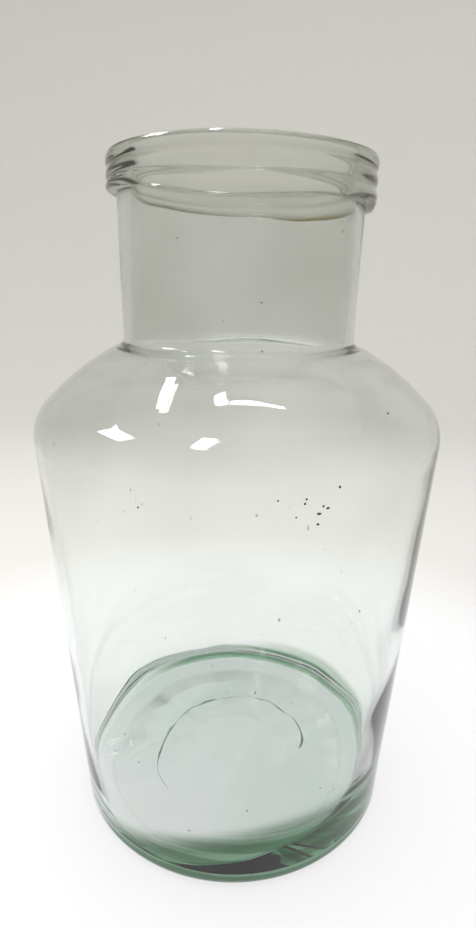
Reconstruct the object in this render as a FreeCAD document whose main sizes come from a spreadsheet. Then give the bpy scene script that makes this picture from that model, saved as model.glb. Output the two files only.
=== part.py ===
import FreeCAD, Part
import math
import os
import re
import Sketcher
from FreeCAD import Vector

# An open wide-mouth jar of hand-blown glass. The vessel widens slightly
# upwards to a sloping shoulder and has a short wide neck. A lip of hot glass
# is trailed round the top of the neck in three turns. A broken ring of glass,
# the pontil scar, is left under the pushed-up base.
# Millimetres, Z up, origin at the middle of the resting ring.

# A size given as text follows the others; a number may be put in its place.
SIZES = {
    # vessel, outside
    "jar_height": 320.0,
    "base_radius": 82.0,
    "body_radius": 96.5,
    "shoulder_start": 198.0,
    "shoulder_bend": 23.0,
    "shoulder_sweep": 120.0,
    "neck_foot": 241.5,
    "neck_radius": 54.0,
    "neck_flare": 1.6,
    "heel_round": 7.0,
    # vessel, under the base
    "rest_width": 9.5,
    "rest_round": 2.5,
    "push_up": 3.0,
    "push_slope": 20.0,
    "plateau_radius": "base_radius - heel_round - rest_width - push_slope",
    # vessel, inside
    "body_wall": 3.0,
    "heel_wall": 6.0,
    "heel_hollow": 4.0,
    "heel_floor": 18.0,
    "floor_shelf": 3.0,
    "floor_slope": 17.0,
    "base_thickness": 9.5,
    "neck_wall": 4.0,
    # softened edges
    "crease_round": 3.0,
    "inner_crease_round": 5.0,
    "plateau_round": 6.0,
    "rim_round": 1.8,
    # lip trail
    "lip_set_down": 1.4,
    "lip_reach": 3.6,
    "upper_turn": 3.2,
    "middle_turn": 3.0,
    "lower_turn": 4.6,
    "upper_pitch": 5.3,
    "lower_pitch": 6.4,
    # pontil scar
    "scar_set_in": 4.0,
    "scar_radius": "plateau_radius - scar_set_in",
    "scar_width": 4.0,
    "scar_depth": 1.2,
    "scar_sweep": 235.0,
}

# Places that follow from the sizes, each used by more than one piece or cut.
NECK_TOP_RADIUS = "neck_radius + neck_flare"
BORE_RADIUS = "neck_radius - neck_wall"
BORE_FOOT = "neck_foot - body_wall / 2"
REST_INNER = "base_radius - heel_round - rest_width"
FLOOR_HEIGHT = "push_up + base_thickness"
SHELF_INNER = "base_radius - heel_wall - heel_hollow - floor_shelf"
FLOOR_RADIUS = SHELF_INNER + " - floor_slope"
LIP_EDGE = "neck_radius + neck_flare + lip_reach"
UPPER_TURN_HEIGHT = "jar_height - lip_set_down - upper_turn"
MIDDLE_TURN_HEIGHT = UPPER_TURN_HEIGHT + " - upper_pitch"
LOWER_TURN_HEIGHT = MIDDLE_TURN_HEIGHT + " - lower_pitch"
FLARE_TOP = LOWER_TURN_HEIGHT + " - lower_turn"

doc = FreeCAD.newDocument("jar")
sheet = doc.addObject("Spreadsheet::Sheet", "sizes")


def fill_sheet():
    """Put every size in the sheet, one row each, under its own name."""
    for row, (name, size) in enumerate(SIZES.items(), start=1):
        follows = isinstance(size, str)
        sheet.set("A%d" % row, name)
        sheet.set("B%d" % row, "=" + size if follows else repr(size))
        sheet.setAlias("B%d" % row, name)
    doc.recompute()


def value(expression):
    """What an expression in the sheet's names comes to."""
    return float(sheet.evalExpression(expression))


def on_sheet(expression):
    """The same expression with every name looked up on the sheet."""
    return re.sub(r"([a-z_]{3,})", r"sizes.\1", expression)


class Outline:
    """A closed outline in a body's XZ plane: X is radius, Y is height."""

    ORIGIN = (-1, 1)
    AXIS = -2

    def __init__(self, body, name):
        self.sketch = body.newObject("Sketcher::SketchObject", name)
        for plane in body.Origin.OriginFeatures:
            if plane.Role == "XZ_Plane":
                self.sketch.AttachmentSupport = [(plane, "")]
        self.sketch.MapMode = "FlatFace"

    def line(self, start, end):
        shape = Part.LineSegment(Vector(*start, 0), Vector(*end, 0))
        return self.sketch.addGeometry(shape, False)

    def arc(self, centre, radius, low, high):
        """Counter-clockwise arc between two angles in radians."""
        circle = Part.Circle(Vector(*centre, 0), Vector(0, 0, 1), radius)
        shape = Part.ArcOfCircle(circle, low, high)
        return self.sketch.addGeometry(shape, False)

    def tie(self, kind, *where):
        return self.sketch.addConstraint(Sketcher.Constraint(kind, *where))

    def drive(self, kind, *where, by):
        """A dimension that follows an expression in the sheet's names."""
        index = self.tie(kind, *where, value(by))
        self.sketch.setExpression("Constraints[%d]" % index, on_sheet(by))

    def across(self, geometry, end, by):
        self.drive("DistanceX", *self.ORIGIN, geometry, end, by=by)

    def up(self, geometry, end, by):
        self.drive("DistanceY", *self.ORIGIN, geometry, end, by=by)

    def chain(self, *ends):
        """Join points in pairs: (a, end of a, b, end of b), ..."""
        for pair in ends:
            self.tie("Coincident", *pair)


def revolve(body, kind, outline, angle=None):
    """Turn an outline round the upright axis, as glass or as hollow."""
    feature = body.newObject(kind, outline.sketch.Name + "_turned")
    feature.Profile = outline.sketch
    feature.ReferenceAxis = (outline.sketch, ["V_Axis"])
    feature.Angle = 360.0
    if angle:
        feature.setExpression("Angle", on_sheet(angle))
    outline.sketch.Visibility = False
    doc.recompute()
    return feature


def soften(body, name, radius, rings):
    """Round the circular edges at the given radii and heights."""
    base = body.Tip
    edges = []
    for index, edge in enumerate(base.Shape.Edges, start=1):
        curve = edge.Curve
        if not isinstance(curve, Part.Circle) or abs(curve.Axis.z) < 0.999:
            continue
        for ring_radius, ring_height in rings:
            near = abs(curve.Radius - value(ring_radius)) < 1e-4
            if near and abs(curve.Center.z - value(ring_height)) < 1e-4:
                edges.append("Edge%d" % index)
    fillet = body.newObject("PartDesign::Fillet", name)
    fillet.Base = (base, edges)
    fillet.setExpression("Radius", on_sheet(radius))
    doc.recompute()


def wall_taper(bottom, top, top_height, turn, rise):
    """Lean of a wall that leaves a rounded corner and reaches a given top."""
    lean = 0.0
    for _ in range(40):
        foot = rise + turn * (1.0 - math.sin(lean))
        lean = math.atan2(top - bottom, top_height - foot)
    return lean, foot


def shoulder_arcs(start, lean, bend, sweep, foot):
    """Centres and angles of two arcs from the wall's top to the neck."""
    first = (start[0] - bend * math.cos(lean),
             start[1] + bend * math.sin(lean))
    reach = sweep - bend
    east = first[0] - foot[0]
    north = first[1] - foot[1]
    side = sweep ** 2 - reach ** 2 - east ** 2 - north ** 2
    span = 2.0 * reach * math.hypot(east, north)
    turn = math.atan2(north, east) + math.acos(-side / span)
    second = (first[0] - reach * math.cos(turn),
              first[1] - reach * math.sin(turn))
    last = math.atan2(foot[1] - second[1], foot[0] - second[0])
    return first, second, turn, last


def wall_outline(outline, foot, top, heel, bend, sweep, neck):
    """Heel arc, wall line and two shoulder arcs, tangent to each other.

    Each argument names the expressions that place it: foot is the wall's
    radius at the heel and the height of the level the heel springs from.
    """
    lean, start = wall_taper(value(foot[0]), value(top[0]), value(top[1]),
                             value(heel), value(foot[1]))
    centre = (value(foot[0]) - value(heel) * math.cos(lean),
              value(foot[1]) + value(heel))
    first, second, turn, last = shoulder_arcs(
        (value(top[0]), value(top[1])), lean, value(bend), value(sweep),
        (value(neck[0]), value(neck[1])))
    heel_arc = outline.arc(centre, value(heel), -math.pi / 2, -lean)
    wall = outline.line((value(foot[0]), start),
                        (value(top[0]), value(top[1])))
    bend_arc = outline.arc(first, value(bend), -lean, turn)
    sweep_arc = outline.arc(second, value(sweep), turn, last)
    outline.tie("Tangent", heel_arc, 2, wall, 1)
    outline.tie("Tangent", wall, 2, bend_arc, 1)
    outline.tie("Tangent", bend_arc, 2, sweep_arc, 1)
    outline.drive("Radius", heel_arc, by=heel)
    outline.drive("Radius", bend_arc, by=bend)
    outline.drive("Radius", sweep_arc, by=sweep)
    outline.across(wall, 1, foot[0])
    outline.across(wall, 2, top[0])
    outline.up(wall, 2, top[1])
    outline.across(sweep_arc, 2, neck[0])
    outline.up(sweep_arc, 2, neck[1])
    return heel_arc, sweep_arc, centre[0]


def vessel_outside(body):
    """The whole vessel as solid glass, from resting ring to rim."""
    out = Outline(body, "vessel_outside")
    heel, sweep, heel_x = wall_outline(
        out, ("base_radius", "0"), ("body_radius", "shoulder_start"),
        "heel_round", "shoulder_bend", "shoulder_sweep",
        ("neck_radius", "neck_foot"))
    top = value("jar_height")
    neck_top = value(NECK_TOP_RADIUS)
    flare = out.line((value("neck_radius"), value("neck_foot")),
                     (neck_top, value(FLARE_TOP)))
    collar = out.line((neck_top, value(FLARE_TOP)), (neck_top, top))
    rim = out.line((neck_top, top), (0, top))
    axis = out.line((0, top), (0, 0))
    bottom = out.line((0, 0), (heel_x, 0))
    out.chain((sweep, 2, flare, 1), (flare, 2, collar, 1),
              (collar, 2, rim, 1), (rim, 2, axis, 1), (axis, 2, bottom, 1))
    out.tie("Tangent", bottom, 2, heel, 1)
    out.tie("Vertical", collar)
    out.tie("Horizontal", rim)
    out.tie("Horizontal", bottom)
    out.tie("Coincident", bottom, 1, *out.ORIGIN)
    out.tie("PointOnObject", rim, 2, out.AXIS)
    out.across(flare, 2, NECK_TOP_RADIUS)
    out.up(flare, 2, FLARE_TOP)
    out.up(rim, 2, "jar_height")
    revolve(body, "PartDesign::Revolution", out)


def vessel_hollow(body):
    """The inside: a dished floor, the walls and the bore."""
    gap = Outline(body, "vessel_hollow")
    heel, sweep, heel_x = wall_outline(
        gap, ("base_radius - heel_wall", "heel_floor"),
        ("body_radius - body_wall", "shoulder_start"), "heel_hollow",
        "shoulder_bend - body_wall", "shoulder_sweep - body_wall",
        (BORE_RADIUS, BORE_FOOT))
    bore = value(BORE_RADIUS)
    above = value("jar_height + neck_wall")
    floor = value(FLOOR_HEIGHT)
    low = value("heel_floor")
    flat = value(FLOOR_RADIUS)
    slope_end = value(SHELF_INNER)
    neck = gap.line((bore, value(BORE_FOOT)), (bore, above))
    lid = gap.line((bore, above), (0, above))
    axis = gap.line((0, above), (0, floor))
    middle = gap.line((0, floor), (flat, floor))
    slope = gap.line((flat, floor), (slope_end, low))
    shelf = gap.line((slope_end, low), (heel_x, low))
    gap.chain((sweep, 2, neck, 1), (neck, 2, lid, 1), (lid, 2, axis, 1),
              (axis, 2, middle, 1), (middle, 2, slope, 1),
              (slope, 2, shelf, 1))
    gap.tie("Tangent", shelf, 2, heel, 1)
    gap.tie("Vertical", neck)
    gap.tie("Horizontal", lid)
    gap.tie("Horizontal", middle)
    gap.tie("Horizontal", shelf)
    gap.tie("PointOnObject", lid, 2, gap.AXIS)
    gap.tie("PointOnObject", axis, 2, gap.AXIS)
    gap.up(lid, 2, "jar_height + neck_wall")
    gap.across(middle, 2, FLOOR_RADIUS)
    gap.up(middle, 2, FLOOR_HEIGHT)
    gap.across(slope, 2, SHELF_INNER)
    gap.up(slope, 2, "heel_floor")
    revolve(body, "PartDesign::Groove", gap)


def vessel_push_up(body):
    """The hollow under the base, which leaves a ring to stand on."""
    gap = Outline(body, "push_up_hollow")
    rest = value(REST_INNER)
    plateau = value("plateau_radius")
    high = value("push_up")
    floor = gap.line((0, 0), (rest, 0))
    slope = gap.line((rest, 0), (plateau, high))
    ceiling = gap.line((plateau, high), (0, high))
    axis = gap.line((0, high), (0, 0))
    gap.chain((floor, 2, slope, 1), (slope, 2, ceiling, 1),
              (ceiling, 2, axis, 1), (axis, 2, floor, 1))
    gap.tie("Coincident", floor, 1, *gap.ORIGIN)
    gap.tie("Horizontal", floor)
    gap.tie("Horizontal", ceiling)
    gap.tie("Vertical", axis)
    gap.across(floor, 2, REST_INNER)
    gap.across(slope, 2, "plateau_radius")
    gap.up(slope, 2, "push_up")
    revolve(body, "PartDesign::Groove", gap)


def jar_vessel():
    """The blown vessel: base, body, shoulder and neck in one wall."""
    body = doc.addObject("PartDesign::Body", "jar_vessel")
    vessel_outside(body)
    vessel_hollow(body)
    vessel_push_up(body)
    soften(body, "crease", "crease_round", [("neck_radius", "neck_foot")])
    soften(body, "inner_crease", "inner_crease_round",
           [(BORE_RADIUS, BORE_FOOT)])
    soften(body, "plateau_edges", "plateau_round",
           [("plateau_radius", "push_up"), (FLOOR_RADIUS, FLOOR_HEIGHT),
            (SHELF_INNER, "heel_floor")])
    soften(body, "rest_edge", "rest_round", [(REST_INNER, "0")])
    soften(body, "rim", "rim_round", [(BORE_RADIUS, "jar_height"),
                                      (NECK_TOP_RADIUS, "jar_height")])
    return body


def meeting(lower, upper):
    """The outer point where two circles (x, y, radius) cross."""
    east = upper[0] - lower[0]
    north = upper[1] - lower[1]
    gap = math.hypot(east, north)
    along = (gap ** 2 + lower[2] ** 2 - upper[2] ** 2) / (2.0 * gap)
    off = math.sqrt(lower[2] ** 2 - along ** 2)
    return (lower[0] + (along * east + off * north) / gap,
            lower[1] + (along * north - off * east) / gap)


def lip_trail():
    """Three turns of glass laid round the neck, flowed together."""
    body = doc.addObject("PartDesign::Body", "lip_trail")
    lip = Outline(body, "lip_section")
    turns = [("lower_turn", LOWER_TURN_HEIGHT),
             ("middle_turn", MIDDLE_TURN_HEIGHT),
             ("upper_turn", UPPER_TURN_HEIGHT)]
    circles = [(value(LIP_EDGE + " - " + turn), value(height), value(turn))
               for turn, height in turns]
    neck = value(NECK_TOP_RADIUS)
    low = circles[0]
    high = circles[-1]
    foot = (neck, low[1] - math.sqrt(low[2] ** 2 - (neck - low[0]) ** 2))
    head = (neck, high[1] + math.sqrt(high[2] ** 2 - (neck - high[0]) ** 2))
    knots = [foot, meeting(low, circles[1]), meeting(circles[1], high), head]
    arcs = []
    for (turn, height), circle, start, end in zip(
            turns, circles, knots, knots[1:]):
        angles = [math.atan2(p[1] - circle[1], p[0] - circle[0])
                  for p in (start, end)]
        arc = lip.arc(circle[:2], circle[2], *angles)
        lip.drive("Radius", arc, by=turn)
        lip.across(arc, 3, LIP_EDGE + " - " + turn)
        lip.up(arc, 3, height)
        arcs.append(arc)
    seat = lip.line(head, foot)
    lip.chain((arcs[0], 2, arcs[1], 1), (arcs[1], 2, arcs[2], 1),
              (arcs[2], 2, seat, 1), (seat, 2, arcs[0], 1))
    lip.tie("Vertical", seat)
    lip.across(seat, 1, NECK_TOP_RADIUS)
    revolve(body, "PartDesign::Revolution", lip)
    return body


def pontil_scar():
    """A broken ring of glass on the flat of the pushed-up base."""
    body = doc.addObject("PartDesign::Body", "pontil_scar")
    scar = Outline(body, "scar_section")
    radius = "scar_width ^ 2 / 8 / scar_depth + scar_depth / 2"
    inner = "scar_radius - scar_width / 2"
    outer = "scar_radius + scar_width / 2"
    middle = (value("scar_radius"),
              value("push_up - scar_depth + (" + radius + ")"))
    spread = math.asin(value("scar_width / 2") / value(radius))
    bead = scar.arc(middle, value(radius), -math.pi / 2 - spread,
                    -math.pi / 2 + spread)
    seat = scar.line((value(outer), value("push_up")),
                     (value(inner), value("push_up")))
    scar.chain((bead, 2, seat, 1), (seat, 2, bead, 1))
    scar.drive("Radius", bead, by=radius)
    scar.across(seat, 1, outer)
    scar.up(seat, 1, "push_up")
    scar.across(seat, 2, inner)
    scar.up(seat, 2, "push_up")
    revolve(body, "PartDesign::Revolution", scar, angle="scar_sweep")
    return body


def faults():
    """Names of objects that FreeCAD marks as broken."""
    return [item.Name for item in doc.Objects
            if {"Invalid", "Error"} & set(item.State)]


fill_sheet()
pieces = [jar_vessel(), lip_trail(), pontil_scar()]
doc.recompute()
if faults():
    raise RuntimeError("broken: " + ", ".join(faults()))
os.makedirs("parts", exist_ok=True)
for piece in pieces:
    shape = piece.Shape
    if shape.isNull() or not shape.isValid() or len(shape.Solids) != 1:
        raise RuntimeError(piece.Name + " is not one sound solid")
    box = shape.BoundBox
    print(piece.Name, "volume %.1f" % shape.Volume,
          "z %.2f to %.2f" % (box.ZMin, box.ZMax), "x %.2f" % box.XMax)
    shape.exportStep("parts/" + piece.Name + ".step")
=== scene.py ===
import math

import bpy
import numpy as np
from mathutils import Matrix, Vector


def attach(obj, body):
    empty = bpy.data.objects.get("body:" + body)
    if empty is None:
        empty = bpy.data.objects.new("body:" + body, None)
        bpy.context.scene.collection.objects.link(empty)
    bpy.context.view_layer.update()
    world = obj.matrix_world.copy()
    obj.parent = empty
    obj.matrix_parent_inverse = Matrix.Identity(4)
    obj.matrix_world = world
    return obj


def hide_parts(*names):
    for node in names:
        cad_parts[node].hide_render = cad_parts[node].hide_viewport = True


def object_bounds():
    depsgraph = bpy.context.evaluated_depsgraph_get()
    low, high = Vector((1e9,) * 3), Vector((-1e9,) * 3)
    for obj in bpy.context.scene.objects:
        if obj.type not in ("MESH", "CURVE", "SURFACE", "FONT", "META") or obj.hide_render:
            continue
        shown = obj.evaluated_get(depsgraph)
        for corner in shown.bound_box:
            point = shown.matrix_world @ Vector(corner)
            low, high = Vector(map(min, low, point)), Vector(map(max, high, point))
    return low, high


bl_info = {
    "name": "Hand-blown Specimen Jar",
    "version": (1, 0, 0),
    "blender": (4, 5, 0),
    "location": "3D View > Sidebar > Jar",
    "description": "Builds an open hand-blown glass jar and a pale studio",
    "category": "Object",
}

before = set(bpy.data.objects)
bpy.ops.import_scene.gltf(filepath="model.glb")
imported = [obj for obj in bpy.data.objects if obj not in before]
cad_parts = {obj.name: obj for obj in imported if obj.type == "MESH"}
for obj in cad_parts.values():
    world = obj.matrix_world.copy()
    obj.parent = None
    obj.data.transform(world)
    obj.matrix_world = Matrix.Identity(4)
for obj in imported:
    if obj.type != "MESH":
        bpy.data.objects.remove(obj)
CAD_BOX = [list(corner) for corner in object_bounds()]

# Sizes are in millimetres inside the shape functions and become metres when
# a mesh is made. Angles run from the front of the jar, -Y, towards +X.
MM = 0.001
FRONT = -0.5 * math.pi

# The underside rises from the inner edge of the resting ring, which lies this
# far inside the base's radius, to a flat middle of this radius.
REST_SET_IN = 16.5
FLAT_MIDDLE = 24.0

# The floor rises from a flat middle of this radius to its edge at this
# height, and its middle is this much thicker than the named base thickness.
FLOOR_MIDDLE = 14.0
FLOOR_EDGE = 20.0
FLOOR_EXTRA = 3.5

# The neck is this much wider outside at the rim than at its foot.
NECK_FLARE = 1.5

# The shoulder's tight bend and its long sweep, outside and inside.
SHOULDER_OUT = (23.0, 120.0)
SHOULDER_IN = (20.0, 117.0)

# Radii of the rounded corners along the outline.
ROUND = {"underside": 30.0, "ring": 2.5, "heel": 7.0, "neck_out": 3.0,
         "rim_out": 2.0, "rim_in": 1.9, "neck_in": 5.0, "floor_edge": 2.6,
         "floor_middle": 40.0}

# Where each run of random numbers starts, so every build is the same.
STARTS = {"outside": 3, "scar": 4, "inside": 5, "floor": 8, "stones": 9,
          "lip_edge": 12, "lip_reach": 14, "floor_edge": 17, "seeds": 21}

# Points round the jar, or along an arc, and then round the section.
VESSEL_AROUND = 264
LIP_MESH = (360, 84)
SCAR_MESH = (220, 20)
SPECK_MESH = (5, 8)
STAGE_AROUND = 96

# The stage is flat to the first radius, bends up with the second and ends as
# a wall of this height.
STAGE_FLAT, STAGE_BEND, STAGE_TOP = 1000, 700, 1900

# Light bounces, for paths that cross the glass many times.
BOUNCES = 32

# Each light: its name, its place, the point it faces, its width and height,
# its watts and its colour.
JAR_MIDDLE = (0, 0, 0.2)
WHITE = (1.0, 1.0, 1.0)
CEILING_FILL = ("ceiling_fill", (0.10, 0.10, 1.45), (0, 0.6, 0.0),
                (0.9, 0.7), 9.5, WHITE)
LIGHTS = [
    ("front_softbox", (-0.27, -0.57, 1.15), JAR_MIDDLE, (0.13, 0.42), 4.0,
     WHITE),
    ("side_window", (-0.95, -0.10, 1.02), JAR_MIDDLE, (0.36, 0.24), 4.2,
     (1.0, 0.99, 0.97)),
    ("left_lamp", (-0.51, 0.18, 1.28), JAR_MIDDLE, (0.36, 0.08), 1.3, WHITE),
    ("top_lamp", (-0.12, -0.02, 1.35), JAR_MIDDLE, (0.08, 0.08), 0.6, WHITE),
    ("front_tube", (0.16, -0.05, 1.40), (0.16, -0.05005, 0), (0.42, 0.022),
     0.8, WHITE),
]


class JarSizes(bpy.types.PropertyGroup):
    """The vessel: its outline, its wall and the marks of the blower's hand."""

    height: bpy.props.FloatProperty(
        name="Height", description="From the resting ring to the rim",
        default=CAD_BOX[1][2], unit="LENGTH", precision=4)
    body_radius: bpy.props.FloatProperty(
        name="Body radius", description="Widest radius, under the shoulder",
        default=0.09605, unit="LENGTH", precision=4)
    base_radius: bpy.props.FloatProperty(
        name="Base radius", description="Radius where the wall meets the heel",
        default=0.0819, unit="LENGTH", precision=4)
    shoulder_height: bpy.props.FloatProperty(
        name="Shoulder height", description="Where the wall starts to turn in",
        default=0.198, unit="LENGTH", precision=4)
    neck_radius: bpy.props.FloatProperty(
        name="Neck radius", description="Outside radius at the neck's foot",
        default=0.054, unit="LENGTH", precision=4)
    neck_height: bpy.props.FloatProperty(
        name="Neck foot", description="Height of the crease under the neck",
        default=0.2415, unit="LENGTH", precision=4)
    neck_wall: bpy.props.FloatProperty(
        name="Neck wall", description="Thickness of the glass in the neck",
        default=0.004, unit="LENGTH", precision=4)
    body_wall: bpy.props.FloatProperty(
        name="Body wall", description="Thickness of the glass at the shoulder",
        default=0.003, unit="LENGTH", precision=4)
    heel_wall: bpy.props.FloatProperty(
        name="Heel wall", description="Thickness of the glass above the heel",
        default=0.0045, unit="LENGTH", precision=4)
    base_thickness: bpy.props.FloatProperty(
        name="Base thickness", description="Glass over the pushed-up base",
        default=0.0095, unit="LENGTH", precision=4)
    push_up: bpy.props.FloatProperty(
        name="Push-up", description="How far the base is pushed up",
        default=0.003, unit="LENGTH", precision=4)
    waviness: bpy.props.FloatProperty(
        name="Waviness", description="Strength of the hand-blown unevenness",
        default=1.0, min=0.0, max=2.0)
    lean: bpy.props.FloatProperty(
        name="Lean", description="Sideways drift of the rim from the middle",
        default=0.0014, unit="LENGTH", precision=4)
    seeds: bpy.props.IntProperty(
        name="Seeds", description="Number of small bubbles in the wall",
        default=46, min=0, max=120)
    stones: bpy.props.IntProperty(
        name="Stones", description="Dark stones under the shoulder, besides three apart",
        default=9, min=0, max=40)


class LipSizes(bpy.types.PropertyGroup):
    """The trail of glass wound round the top of the neck."""

    reach: bpy.props.FloatProperty(
        name="Reach", description="How far the turns stand off the neck",
        default=0.0043, unit="LENGTH", precision=4)
    upper_groove: bpy.props.FloatProperty(
        name="Upper groove", description="Height between the first two turns",
        default=0.3132, unit="LENGTH", precision=4)
    lower_groove: bpy.props.FloatProperty(
        name="Lower groove", description="Height between the last two turns",
        default=0.3073, unit="LENGTH", precision=4)
    lower_edge: bpy.props.FloatProperty(
        name="Lower edge", description="Height of the lower edge between sags",
        default=0.3026, unit="LENGTH", precision=4)
    sag: bpy.props.FloatProperty(
        name="Sag", description="How far the soft glass sagged at the front",
        default=0.0052, unit="LENGTH", precision=4)


class ScarSizes(bpy.types.PropertyGroup):
    """The broken ring that the pontil rod left under the base."""

    radius: bpy.props.FloatProperty(
        name="Radius", description="Middle radius of the broken ring",
        default=0.0415, unit="LENGTH", precision=4)
    width: bpy.props.FloatProperty(
        name="Width", description="The torn glass keeps up to 0.45 of this",
        default=0.004, unit="LENGTH", precision=4)
    depth: bpy.props.FloatProperty(
        name="Depth", description="The torn glass keeps up to 0.56 of this",
        default=0.0012, unit="LENGTH", precision=4)
    sweep: bpy.props.FloatProperty(
        name="Sweep", description="How much of the circle is left",
        default=math.radians(235), subtype="ANGLE")


class GlassLooks(bpy.types.PropertyGroup):
    """Colours of the glass. Thick glass shows them, a thin wall hardly."""

    tint: bpy.props.FloatVectorProperty(
        name="Glass tint", description="Colour that thick glass turns",
        subtype="COLOR", size=3, default=(0.30, 0.68, 0.46), min=0, max=1)
    strength: bpy.props.FloatProperty(
        name="Tint strength", description="Absorption for each metre of glass",
        default=11.0, min=0.0)
    lip_tint: bpy.props.FloatVectorProperty(
        name="Lip tint", description="Olive colour of the thick lip glass",
        subtype="COLOR", size=3, default=(0.50, 0.56, 0.40), min=0, max=1)
    lip_strength: bpy.props.FloatProperty(
        name="Lip strength", description="Absorption for each metre of lip",
        default=22.0, min=0.0)


class StudioLooks(bpy.types.PropertyGroup):
    """The pale studio, its lights and the camera."""

    # Paper is the floor's own colour in a painted pool of light round the jar; the
    # surround past it is painted shade.
    paper: bpy.props.FloatVectorProperty(
        name="Paper", description="Colour of the sheet the jar stands on",
        subtype="COLOR", size=3, default=(0.82, 0.82, 0.835), min=0, max=1)
    shaded_surround: bpy.props.FloatVectorProperty(
        name="Surround", description="Colour of the studio past the sheet",
        subtype="COLOR", size=3, default=(0.72, 0.71, 0.685), min=0, max=1)
    lit_sheet: bpy.props.FloatProperty(
        name="Sheet radius", description="Reach of the pale sheet",
        default=0.26, unit="LENGTH", precision=3)
    sky: bpy.props.FloatVectorProperty(
        name="Room", description="Soft light of the room over the studio",
        subtype="COLOR", size=3, default=(0.50, 0.50, 0.49), min=0, max=1)
    lens: bpy.props.FloatProperty(
        name="Lens", description="Focal length of the camera",
        default=22.88, min=1.0, subtype="DISTANCE_CAMERA")
    camera_back: bpy.props.FloatProperty(
        name="Camera distance", description="From the jar's axis, to the front",
        default=0.2874, unit="LENGTH", precision=4)
    camera_up: bpy.props.FloatProperty(
        name="Camera height", description="Above the floor",
        default=0.2641, unit="LENGTH", precision=4)
    camera_pitch: bpy.props.FloatProperty(
        name="Camera pitch", description="Tilt down from the level",
        default=math.radians(16.32), subtype="ANGLE")
    camera_roll: bpy.props.FloatProperty(
        name="Camera roll", description="Turn about the line of sight",
        default=math.radians(0.68), subtype="ANGLE")
    camera_yaw: bpy.props.FloatProperty(
        name="Camera yaw", description="Turn to the side of the jar's axis",
        default=math.radians(0.19), subtype="ANGLE")


# ---------------------------------------------------------------- shapes

def arc(centre, radius, first, last, count):
    """Points of a circular arc: centre + radius * (cos a, sin a)."""
    angle = np.linspace(first, last, count)
    return np.stack([centre[0] + radius * np.cos(angle),
                     centre[1] + radius * np.sin(angle)], axis=1)


def stretch(start, end, count):
    """Points spread evenly on the straight line between two places."""
    return np.linspace(start, end, count)


def corner(before, at, after, radius, count):
    """A corner rounded by the arc that touches both of its lines.

    The arc starts and ends at radius / tan(half the corner's angle) from the
    corner, and its centre lies on the line that halves the corner.
    """
    before, at, after = (np.array(p, float) for p in (before, at, after))
    a = (before - at) / np.linalg.norm(before - at)
    b = (after - at) / np.linalg.norm(after - at)
    half = 0.5 * math.acos(float(np.clip(a @ b, -1, 1)))
    middle = (a + b) / np.linalg.norm(a + b)
    centre = at + middle * radius / math.sin(half)
    first = at + a * radius / math.tan(half) - centre
    last = at + b * radius / math.tan(half) - centre
    start = math.atan2(first[1], first[0])
    turn = math.atan2(first[0] * last[1] - first[1] * last[0], first @ last)
    return arc(centre, radius, start, start + turn, count)


def shoulder(top, lean, bend, sweep, foot, counts):
    """Two arcs from the wall's top to the neck, tangent to each other.

    The second centre is where a circle of radius sweep - bend about the first
    centre meets a circle of radius sweep about the neck's foot.
    """
    first = np.array([top[0] - bend * math.cos(lean),
                      top[1] + bend * math.sin(lean)])
    gap = first - foot
    reach = sweep - bend
    side = sweep ** 2 - reach ** 2 - gap @ gap
    turn = math.atan2(gap[1], gap[0]) + math.acos(
        -side / (2 * reach * np.linalg.norm(gap)))
    second = first - reach * np.array([math.cos(turn), math.sin(turn)])
    last = math.atan2(foot[1] - second[1], foot[0] - second[0])
    return np.concatenate([arc(first, bend, -lean, turn, counts[0]),
                           arc(second, sweep, turn, last, counts[1])[1:]])


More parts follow.
